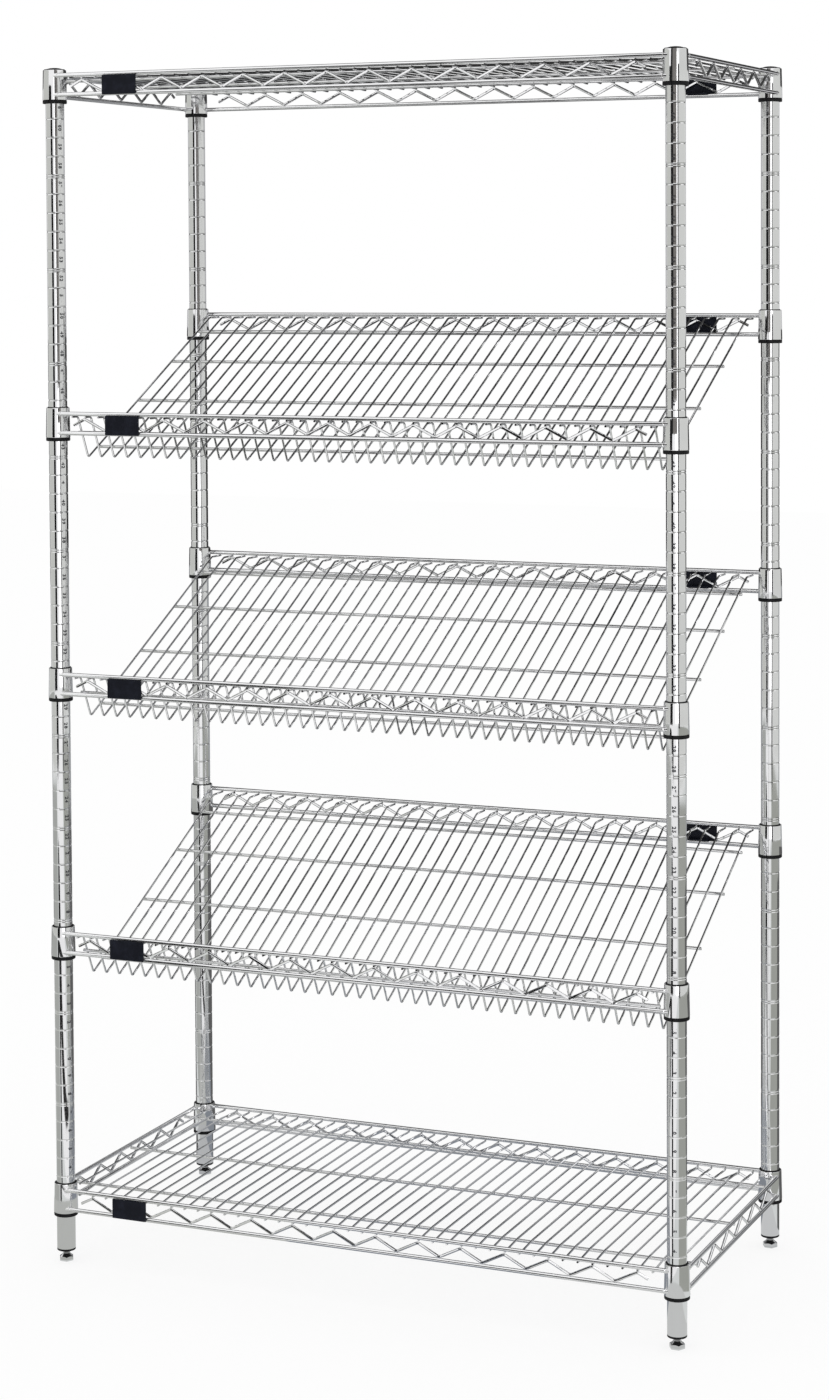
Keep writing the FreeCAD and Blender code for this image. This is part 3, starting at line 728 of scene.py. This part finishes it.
@dataclass
class Shelf:
    """One wire shelf with its collars, sleeves and label plates."""

    name: str
    body: str
    kind: Kind
    front: int
    rear: int
    plates: int = 2
    collar_height: float = 40.6
    collar_foot: float = 16.6
    collar_head: float = 15.7
    collar_wall: float = 1.5
    sleeve_bore: float = 12.8
    sleeve_lip: float = 16.4
    sleeve_drop: float = 4.8
    sleeve_rise: float = 1.0
    sleeve_split: float = 1.15
    steps: int = 40
    weld: Triple = (3.1, 1.5, 3.3)
    weld_turn: float = 42.0
    truss_bend: float = 5.5
    truss_ends: Pair = (17.0, 14.0)
    side_ends: Pair = (11.0, 11.0)
    camber: Pair = (7.0, 50.0)
    camber_bend: float = 40.0
    bends: Triple = (6.0, 4.0, 8.0)
    support_overhang: float = 0.5
    lip: float = 16.2
    nose: float = 44.0
    nose_drop: float = 28.5
    rear_end: float = 29.0
    flat_support: float = 53.0
    lip_support: float = 20.5
    slope_supports: tuple[float, ...] = (63.0, 145.5, 249.0, 366.5)
    label_inset: float = 81.5
    outer_short: float = 24.0

    @property
    def base(self) -> float:
        """Height of the front collars' lower edges over the floor."""
        return LAYOUT.collar_base(self.front)

    @property
    def rise(self) -> float:
        """How much higher the rear collars sit."""
        return (self.rear - self.front) * LAYOUT.groove_pitch

    @property
    def wire_tip(self) -> float:
        """Height of a deck wire's axis where it runs under a top rail."""
        return LAYOUT.under_rail - LAYOUT.deck_diameter / 2

    @property
    def wire_high(self) -> float:
        """Height of a flat shelf's deck wires' axes."""
        return LAYOUT.under_rail + LAYOUT.deck_diameter / 2

    def slope(self) -> tuple[Vector, Vector, Vector]:
        """Corners of a slanted shelf's deck wires, as (y, z).

        Returns:
            Where the lip leaves the front, the nose below it, and where the rear end begins.
        """
        rail = LAYOUT.rail_y
        return (
            Vector((-rail + self.lip, self.wire_tip)),
            Vector((-rail + self.nose, -self.nose_drop)),
            Vector((rail - self.rear_end, self.wire_tip + self.rise)),
        )

    def build(self) -> None:
        """Builds the shelf's pieces."""
        self.sleeves()
        self.collars()
        self.rails()
        self.trusses()
        self.deck()
        self.supports()
        self.label_plates()

    def done(
        self, piece: Piece, kind: str, finish: Finishes, body: str | None = None, crease: float = CREASE
    ) -> None:
        """Lifts a piece to the shelf's height and finishes it for one solid.

        Args:
            piece: the piece, with the front collars' lower edges at height 0.
            kind: what the piece is, as in its solid's name.
            finish: its finish.
            body: body that it moves with, if it isn't the shelf's.
            crease: angle in degrees over which an edge shows as sharp.
        """
        bmesh.ops.translate(piece.mesh, vec=(0, 0, self.base), verts=piece.mesh.verts[:])
        node = "%s_%s" % (self.name, kind)
        piece.finish(node + "_piece", body or self.body, finish, node, crease=crease)

    def at_corners(self) -> list[Matrix]:
        """The four posts' axes at the height of the shelf's collars."""
        return [
            Matrix.Translation(LAYOUT.corner_place(name, self.rise if side > 0 else 0.0))
            for name, (_, side) in LAYOUT.corners().items()
        ]

    def sleeves(self) -> None:
        """Two tapered halves with a rib round each post."""
        slope = (self.collar_foot - self.collar_head) / self.collar_height
        seat = self.collar_foot - self.collar_wall - 0.15
        low, high = -self.sleeve_drop, self.collar_height + self.sleeve_rise
        bore, lip = self.sleeve_bore, self.sleeve_lip
        outline = [
            (bore, low), (lip - 0.6, low), (lip, low + 0.6), (lip, -0.7), (lip - 0.4, -0.3), (seat, -0.3),
            (seat - high * slope, high - 0.3), (seat - high * slope - 0.3, high), (bore, high),
            (12.75, 26.0), (12.35, 25.7), (12.35, 25.1), (12.75, 24.8),
        ]
        gap = math.radians(self.sleeve_split)
        half = Piece()
        for start in (-QUARTER + gap, QUARTER + gap):
            half.turned(outline, 18, math.pi - 2 * gap, start)
        piece = Piece()
        piece.take(half, self.at_corners())
        self.done(piece, "sleeves", Finishes.SLEEVE, SHARED_BODY)

    def collars(self) -> None:
        """A tapered ring with rolled edges at each post."""
        foot, head, wall, top = self.collar_foot, self.collar_head, self.collar_wall, self.collar_height
        ring = Piece().turned([
            (foot - wall, 0.2), (foot - wall + 0.2, 0.0), (foot - 0.5, 0.0), (foot - 0.1, 0.2), (foot, 0.7),
            (head, top - 0.9), (head - 0.15, top - 0.3), (head - 0.6, top), (head - wall + 0.3, top),
            (head - wall, top - 0.3),
        ], self.steps)
        piece = Piece()
        piece.take(ring, self.at_corners())
        self.done(piece, "collars", Finishes.COLLAR)

    def rail(self, half: float, height: float) -> Piece:
        """A rail along X on the -Y side of two collars, mitred to them and welded.

        Args:
            half: half the distance between the collars' axes.
            height: height of the rail's axis.

        Returns:
            The rail with its welds.
        """
        rail = Piece()
        offset = LAYOUT.rail_offset
        radius = self.collar_foot + (self.collar_head - self.collar_foot) * height / self.collar_height
        rail.rod((-half, -offset, height), (half, -offset, height), LAYOUT.rail_diameter, 14)
        reach = math.sqrt(radius ** 2 - offset ** 2)
        for side in (-1, 1):
            normal = Vector((-side * reach, -offset, 0)).normalized()
            plane = Vector((side * half, 0, height)) + normal * (radius - 0.7)
            cut = bmesh.ops.bisect_plane(
                rail.mesh, geom=rail.mesh.verts[:] + rail.mesh.edges[:] + rail.mesh.faces[:],
                plane_co=plane, plane_no=-normal, clear_outer=True,
            )["geom_cut"]
            bmesh.ops.contextual_create(rail.mesh, geom=edges_of(cut))
            weld = side * (half - reach * 1.02), -offset * 1.06, height
            bead = bmesh.ops.create_uvsphere(rail.mesh, u_segments=12, v_segments=8, radius=1.0)["verts"]
            shape = at(*weld, side * self.weld_turn) @ Matrix.Diagonal((*self.weld, 1))
            bmesh.ops.transform(rail.mesh, matrix=shape, verts=bead)
        return rail

    def rails(self) -> None:
        """Top and bottom rails of the front and rear frames, and of the sides if flat."""
        piece = Piece()
        depth, width = LAYOUT.half_depth, LAYOUT.half_width
        for height in (LAYOUT.rail_height, LAYOUT.top_rail):
            long = self.rail(width, height)
            piece.take(long, [at(y=-depth), at(y=depth, z=self.rise, turn=180)])
            if self.kind is Kind.FLAT:
                side = self.rail(depth, height)
                piece.take(side, [at(x=-width, turn=-90), at(x=width, turn=90)])
        self.done(piece, "rails", Finishes.RAIL)

    def truss(self, half: float, crest: float, left: float, right: float) -> Piece:
        """A zigzag wire along X between the rails.

        Args:
            half: half the distance between the collars' axes.
            crest: height of the wire's axis at its crests.
            left: reach of its left end past the last crest.
            right: reach of its right end past the last crest.

        Returns:
            The wire.
        """
        step = 3 * LAYOUT.deck_pitch
        count = int((half - 30.0) / step + 0.5)
        low = LAYOUT.rail_height + (LAYOUT.rail_diameter + LAYOUT.truss_diameter) / 2
        rise, bend = crest - low, self.truss_bend
        reach = math.hypot(step / 2, 2 * bend - rise)
        slope = math.asin(2 * bend / reach) - math.atan2(2 * bend - rise, step / 2)
        over = bend / math.cos(slope) - bend
        first = (0.5 - count) * step
        corners = [(first - left, crest + over - left * math.tan(slope))]
        for index in range(2 * count - 1):
            corners += [(first + index * step, crest + over), (first + (index + 0.5) * step, low - over)]
        corners += [(-first, crest + over), (-first + right, crest + over - right * math.tan(slope))]
        wire = Piece()
        wire.bent(corners, [bend] * (len(corners) - 2), LAYOUT.truss_diameter, 10, 14.0)
        return wire

    def trusses(self) -> None:
        """The zigzag wires of the frames."""
        piece = Piece()
        crest = LAYOUT.under_rail - LAYOUT.deck_diameter - LAYOUT.truss_diameter / 2
        long = self.truss(LAYOUT.half_width, crest, *self.truss_ends)
        piece.take(long, [at(y=-LAYOUT.rail_y), at(y=LAYOUT.rail_y, z=self.rise)])
        if self.kind is Kind.FLAT:
            crest += LAYOUT.deck_diameter
            side = self.truss(LAYOUT.half_depth, crest, *self.side_ends)
            piece.take(side, [at(x=-LAYOUT.rail_x, turn=90), at(x=LAYOUT.rail_x, turn=90)])
        self.done(piece, "truss_wires", Finishes.TRUSS)

    def deck(self) -> None:
        """The deck wires: cambered on a flat shelf, lipped and sloping on a slanted one."""
        tip, high = self.wire_tip, self.wire_high
        end = LAYOUT.rail_y + 0.5
        wire = Piece()
        if self.kind is Kind.FLAT:
            near, far = self.camber
            half = [(end, tip), (LAYOUT.rail_y - near, tip), (LAYOUT.rail_y - far, high)]
            path = [(-y, z) for y, z in half] + half[::-1]
            wire.bent(path, [self.camber_bend] * 4, LAYOUT.deck_diameter, 8, 4.0)
        else:
            path = [(-end, tip), *self.slope(), (end, tip + self.rise)]
            wire.bent(path, self.bends, LAYOUT.deck_diameter, 8, 23.0)
        piece = Piece()
        piece.take(wire, [at(x=place, turn=90) for place in LAYOUT.deck_places()])
        if self.kind is Kind.FLAT:
            outer = LAYOUT.deck_places()[-1] + LAYOUT.deck_pitch
            reach = LAYOUT.half_depth - self.outer_short
            for x in (-outer, outer):
                piece.rod((x, -reach, high), (x, reach, high), LAYOUT.deck_diameter, 8)
        self.done(piece, "deck_wires", Finishes.DECK)

    def supports(self) -> None:
        """The cross wires under the deck."""
        rail = LAYOUT.rail_y
        piece = Piece()
        if self.kind is Kind.FLAT:
            half = LAYOUT.rail_x + self.support_overhang
            height = LAYOUT.under_rail - LAYOUT.support_diameter / 2
            lines = [(y, height) for y in (self.flat_support - rail, 0.0, rail - self.flat_support)]
        else:
            half = LAYOUT.deck_places()[-1] + 3.2
            apart = (LAYOUT.deck_diameter + LAYOUT.support_diameter) / 2
            lip, nose, rear = self.slope()
            falling, climbing = (nose - lip).normalized(), (rear - nose).normalized()
            spot = lip + falling * (-self.lip_support / falling.y)
            lines = [spot + Vector((falling.y, -falling.x)) * apart]
            for ahead in self.slope_supports:
                spot = nose + climbing * ((rail - ahead - nose.x) / climbing.x)
                lines.append(spot + Vector((climbing.y, -climbing.x)) * apart)
        for y, z in lines:
            piece.rod((-half, y, z), (half, y, z), LAYOUT.support_diameter, 12)
        rims = [edge for edge in piece.mesh.edges if any(len(face.verts) > 4 for face in edge.link_faces)]
        bevel(piece.mesh, rims, 0.6, 2)
        self.done(piece, "support_wires", Finishes.SUPPORT)

    def label_plates(self) -> None:
        """A bare plate hooked on the front bottom rail, and one on the rear one if there are two."""
        plate = LabelPlate()
        x = LAYOUT.half_width - self.label_inset - plate.width / 2
        piece = Piece()
        piece.take(plate.build(), [
            at(-x, -LAYOUT.rail_y, LAYOUT.rail_height),
            at(x, LAYOUT.rail_y, LAYOUT.rail_height + self.rise, 180),
        ][:self.plates])
        self.done(piece, "label_plates", Finishes.LABEL, crease=12.0)


@dataclass
class LabelPlate:
    """A bare plastic plate that faces -Y and hooks over a rail on the X axis."""

    width: float = 51.0
    height: float = 26.3
    thickness: float = 1.8
    drop: float = 1.8
    clearance: float = 3.0
    corner: float = 1.0
    rounding: float = 0.4
    hook: float = 1.0
    hook_width: float = 30.0

    def build(self) -> Piece:
        """Builds the plate with its raised border and its hook.

        Returns:
            The plate.
        """
        piece = Piece()
        centre = Vector((0, -self.clearance - self.thickness / 2, self.height / 2 - self.drop))
        verts = bmesh.ops.create_cube(piece.mesh, size=1.0)["verts"]
        size = Matrix.Diagonal((self.width, self.thickness, self.height, 1))
        bmesh.ops.transform(piece.mesh, matrix=Matrix.Translation(centre) @ size, verts=verts)
        mesh, deep = piece.mesh, self.thickness / 2
        upright = [one for one in mesh.edges if abs(one.verts[0].co.y - one.verts[1].co.y) > deep]
        bevel(mesh, upright, self.corner, 3)
        mesh.normal_update()
        face = min(mesh.faces, key=lambda one: one.calc_center_median().y)
        bevel(mesh, list(face.edges), self.rounding, 2)
        mesh.normal_update()
        face = max((one for one in mesh.faces if one.normal.y < -0.9), key=lambda one: one.calc_area())
        for width, depth in ((0.25, 0.0), (0.15, -0.15)):
            bmesh.ops.inset_region(mesh, faces=[face], thickness=width, depth=depth, use_even_offset=True)
        piece.take(self.clip())
        return piece

    def clip(self) -> Piece:
        """The hook on the plate's back, which reaches over the rail and turns down behind it.

        Returns:
            The hook.
        """
        piece = Piece()
        near, far = self.clearance, self.clearance + self.hook
        line = [(-near - 0.2, near), (near - 0.3, near), (near, near - 0.3), (near, 1.8), (far - 0.3, 1.8),
                (far, 2.1), (far, far - 0.6), (far - 0.6, far), (-near - 0.2, far)]
        verts = [piece.mesh.verts.new((-self.hook_width / 2, y, z)) for y, z in line]
        side = piece.mesh.faces.new(verts)
        swept = bmesh.ops.extrude_face_region(piece.mesh, geom=[side], use_keep_orig=True)["geom"]
        bmesh.ops.translate(piece.mesh, verts=verts_of(swept), vec=(self.hook_width, 0, 0))
        return piece


# Where the posts stand on the floor, as far as the cards go
LEFT_FOOT = (-0.43, -0.21)
RIGHT_FOOT = (0.43, -0.21)
REAR_LEFT_FOOT = (-0.43, 0.13)
REAR_RIGHT_FOOT = (0.43, 0.13)
# Rise from one card on the floor to the next
LAYER = 0.0002
# Azimuths of a card that goes all the way round
AROUND = (0.0, 360.0)


def laid(inner: float, outer: float, layer: int) -> tuple[Pair, ...]:
    """The line, from one distance to another, of a card on the floor."""
    return (inner, layer * LAYER), (outer, layer * LAYER)


@dataclass(frozen=True)
class Card:
    """A card of the studio, curved round the object, that only polished metal sees.

    Attributes:
        name: name of the card.
        colour: its plain colour, or how pale its plain grey is.
        azimuths: where it begins and ends, in degrees from +X.
        line: its upright line as (distance from its middle, height), in metres.
        middle: its middle on the floor.
    """

    name: str
    colour: Triple | float
    azimuths: Pair
    line: tuple[Pair, ...]
    middle: Pair = (0.0, 0.0)

    def build(self) -> None:
        """Stands the card in the studio."""
        mesh = bmesh.new()
        verts = [mesh.verts.new((distance, 0, height)) for distance, height in self.line]
        edges = [mesh.edges.new(pair) for pair in zip(verts, verts[1:])]
        start, end = (math.radians(azimuth) for azimuth in self.azimuths)
        bmesh.ops.rotate(mesh, verts=verts, cent=(0, 0, 0), matrix=Matrix.Rotation(start, 3, "Z"))
        bmesh.ops.spin(
            mesh, geom=verts + edges, cent=(0, 0, 0), axis=(0, 0, 1), dvec=(0, 0, 0),
            angle=end - start, steps=max(1, round(math.degrees(end - start) / 5)), use_merge=False,
        )
        bmesh.ops.translate(mesh, verts=mesh.verts[:], vec=(*self.middle, 0))
        thing = added(self.name, mesh, self.light())
        thing.visible_camera = thing.visible_diffuse = False
        thing.visible_transmission = thing.visible_shadow = False

    def light(self) -> Material:
        """A material of one even brightness, where 1 is white.

        Returns:
            The material.
        """
        material = bpy.data.materials.new(self.name)
        tree = bare_tree(material)
        colour = (self.colour,) * 3 if isinstance(self.colour, float) else self.colour
        glow = tree.nodes.new("ShaderNodeEmission")
        glow.inputs["Color"].default_value = (*colour, 1.0)
        out = tree.nodes.new("ShaderNodeOutputMaterial")
        tree.links.new(glow.outputs["Emission"], out.inputs["Surface"])
        return material


def bare_tree(owner: Material | World) -> bpy.types.NodeTree:
    """Gives a material or a world empty nodes.

    Args:
        owner: the material or the world.

    Returns:
        Its node tree.
    """
    owner.use_nodes = True
    owner.node_tree.nodes.clear()
    return owner.node_tree


def seen_rays(tree: bpy.types.NodeTree, share: float) -> NodeSocket:
    """A share for the rays of the camera, of polished metal and of clear plastic, or else zero.

    Args:
        tree: the nodes that it is added to.
        share: the share.

    Returns:
        The socket that gives it.
    """
    rays = tree.nodes.new("ShaderNodeLightPath").outputs
    found = rays["Is Camera Ray"]
    for name in ("Is Glossy Ray", "Is Transmission Ray"):
        either = tree.nodes.new("ShaderNodeMath")
        either.operation = "MAXIMUM"
        tree.links.new(found, either.inputs[0])
        tree.links.new(rays[name], either.inputs[1])
        found = either.outputs["Value"]
    scaled = tree.nodes.new("ShaderNodeMath")
    scaled.operation = "MULTIPLY"
    scaled.inputs[1].default_value = share
    tree.links.new(found, scaled.inputs[0])
    return scaled.outputs["Value"]


@dataclass
class Studio:
    """Camera, soft box, world, floor and the cards that chrome mirrors."""

    eye: Triple = (1.58028, -3.72234, 1.36735)
    yaw: float = 0.4019
    pitch: float = 0.0430
    roll: float = -0.0051
    lens: float = 76.10
    shift: float = -0.22
    floor_white: float = 0.8
    box_azimuth: float = -60.0
    box_distance: float = 4.6
    box_size: Pair = (2.2, 2.8)
    box_height: float = 1.5
    box_power: float = 24.0
    cards: tuple[Card, ...] = (
        Card("card_back_high", 0.05, (40.0, 170.0), ((3.0, 1.75), (3.6, 4.0), (5.0, 8.0))),
        Card("card_back_mid", (0.5, 0.5, 0.51), (60.0, 165.0), ((2.95, 1.2), (2.95, 1.75))),
        Card("card_back_dark", 0.03, (50.0, 165.0), ((2.95, 0.65), (2.95, 1.2))),
        Card("card_back_low", (0.35, 0.36, 0.37), (50.0, 165.0), ((2.95, 0.0), (2.95, 0.65))),
        Card("card_ceiling", 0.10, AROUND, ((0.0, 8.0), (5.0, 8.0)), (0.0, 3.2)),
        Card("card_ceiling_front", 0.05, (-106.0, 0.0), ((3.5, 8.0), (9.0, 8.0))),
        Card("card_front_high", (0.20, 0.19, 0.18), (-98.0, -60.0), ((1.0, 1.15), (1.0, 2.3)), RIGHT_FOOT),
        Card("flag_front_high", 0.02, (-114.0, -98.0), ((1.0, 1.15), (1.0, 2.3)), RIGHT_FOOT),
        Card("card_left", (0.60, 0.61, 0.58), (170.0, 236.0), ((4.5, 0.0), (4.5, 3.0))),
        Card("card_right", (0.70, 0.71, 0.69), (-36.0, 58.0), ((4.5, 0.0), (4.5, 3.0))),
        Card("flag_left", 0.01, (-122.0, -98.0), ((4.34, 0.0), (4.34, 2.0))),
        Card("flag_right", 0.06, (-50.0, -38.0), ((3.8, 0.0), (3.8, 2.0))),
        Card("card_floor", (0.72, 0.74, 0.73), AROUND, laid(0.0, 4.4, 2)),
        Card("card_floor_left", (0.42, 0.43, 0.41), (160.0, 236.0), laid(0.2, 3.8, 4), LEFT_FOOT),
        Card("card_floor_right", (0.37, 0.38, 0.35), (-52.0, 60.0), laid(0.2, 3.8, 4), RIGHT_FOOT),
        Card("card_floor_white", 0.95, (-125.0, -55.0), laid(0.0, 4.2, 5), (0.0, -0.21)),
        Card("flag_floor_left", 0.01, (-117.0, -102.0), laid(0.25, 3.0, 6), LEFT_FOOT),
        Card("flag_floor_right", 0.02, (-132.0, -114.0), laid(0.25, 3.0, 7), RIGHT_FOOT),
        # Painted shade: a dark card on the floor under the shelf stands in for the shade there, so the
        # chrome mirrors it darker
        Card("card_painted_shade_under_shelf", (0.25, 0.27, 0.30), AROUND, laid(0.0, 0.5, 8), (0.0, 0.15)),
        Card("card_left_foot", (0.50, 0.51, 0.49), AROUND, laid(0.0, 0.3, 10), LEFT_FOOT),
        Card("card_right_foot", (0.60, 0.61, 0.60), AROUND, laid(0.0, 0.2, 10), (0.43, -0.32)),
        Card("card_rear_left_foot", (0.50, 0.51, 0.52), AROUND, laid(0.0, 0.15, 10), REAR_LEFT_FOOT),
        Card("card_rear_right_foot", (0.62, 0.63, 0.63), AROUND, laid(0.0, 0.15, 10), REAR_RIGHT_FOOT),
        Card("card_floor_dark", 0.12, (25.0, 165.0), laid(0.5, 2.95, 9)),
    )

    def build(self) -> None:
        """Sets up the whole studio."""
        self.camera()
        self.soft_box()
        self.world()
        self.floor()
        for card in self.cards:
            card.build()

    def camera(self) -> None:
        """The photograph's view: nearly level, with the lens shifted down."""
        data = bpy.data.cameras.new("view")
        data.lens, data.sensor_width, data.sensor_fit = self.lens, 36.0, "AUTO"
        data.shift_y, data.clip_end = self.shift, 50.0
        thing = bpy.data.objects.new("view", data)
        turn = Matrix.Rotation(self.yaw, 4, "Z") @ Matrix.Rotation(QUARTER - self.pitch, 4, "X")
        thing.matrix_world = Matrix.Translation(self.eye) @ turn @ Matrix.Rotation(self.roll, 4, "Z")
        bpy.context.scene.collection.objects.link(thing)
        bpy.context.scene.camera = thing

    def soft_box(self) -> None:
        """A tall soft box beside the camera, which gives the chrome its white stripe."""
        data = bpy.data.lights.new("soft_box", "AREA")
        data.shape = "RECTANGLE"
        data.size, data.size_y = self.box_size
        data.energy = self.box_power
        thing = bpy.data.objects.new("soft_box", data)
        azimuth = math.radians(self.box_azimuth)
        away = self.box_distance
        thing.location = away * math.cos(azimuth), away * math.sin(azimuth), self.box_height
        thing.rotation_euler = (QUARTER, 0, azimuth + QUARTER)
        thing.visible_camera = False
        bpy.context.scene.collection.objects.link(thing)

    def world(self) -> None:
        """An even white all round."""
        world = bpy.data.worlds.new("room")
        bpy.context.scene.world = world
        tree = bare_tree(world)
        light = tree.nodes.new("ShaderNodeBackground")
        light.inputs["Color"].default_value = (1, 1, 1, 1)
        out = tree.nodes.new("ShaderNodeOutputWorld")
        tree.links.new(light.outputs["Background"], out.inputs["Surface"])

    def floor(self) -> None:
        """A pale floor that is white to the eye and keeps a soft shadow."""
        mesh = bmesh.new()
        bmesh.ops.create_grid(mesh, x_segments=1, y_segments=1, size=12.0)
        material = bpy.data.materials.new("FloorPaint")
        tree = bare_tree(material)
        paint = tree.nodes.new("ShaderNodeBsdfDiffuse")
        paint.inputs["Color"].default_value = (0.95, 0.95, 0.95, 1)
        glow = tree.nodes.new("ShaderNodeEmission")
        mix = tree.nodes.new("ShaderNodeMixShader")
        tree.links.new(seen_rays(tree, self.floor_white), mix.inputs["Fac"])
        tree.links.new(paint.outputs["BSDF"], mix.inputs[1])
        tree.links.new(glow.outputs["Emission"], mix.inputs[2])
        out = tree.nodes.new("ShaderNodeOutputMaterial")
        tree.links.new(mix.outputs["Shader"], out.inputs["Surface"])
        added("floor", mesh, material)


def main() -> None:
    """Builds the studio, the posts and the five shelves in turn."""
    logging.basicConfig(level=logging.INFO, format="%(name)s: %(message)s")
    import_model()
    bpy.context.scene.view_settings.view_transform = "Standard"
    Studio().build()
    Posts().build()
    for shelf in (
        Shelf("bottom_shelf", SHARED_BODY, Kind.FLAT, 3, 3, plates=1),
        Shelf("lower_slanted_shelf", "lower_slanted_shelf", Kind.SLANTED, 17, 22),
        Shelf("middle_slanted_shelf", "middle_slanted_shelf", Kind.SLANTED, 31, 36),
        Shelf("upper_slanted_shelf", "upper_slanted_shelf", Kind.SLANTED, 45, 50),
        Shelf("top_shelf", "top_shelf", Kind.FLAT, 63, 63),
    ):
        shelf.build()


if __name__ == "__main__":
    main()
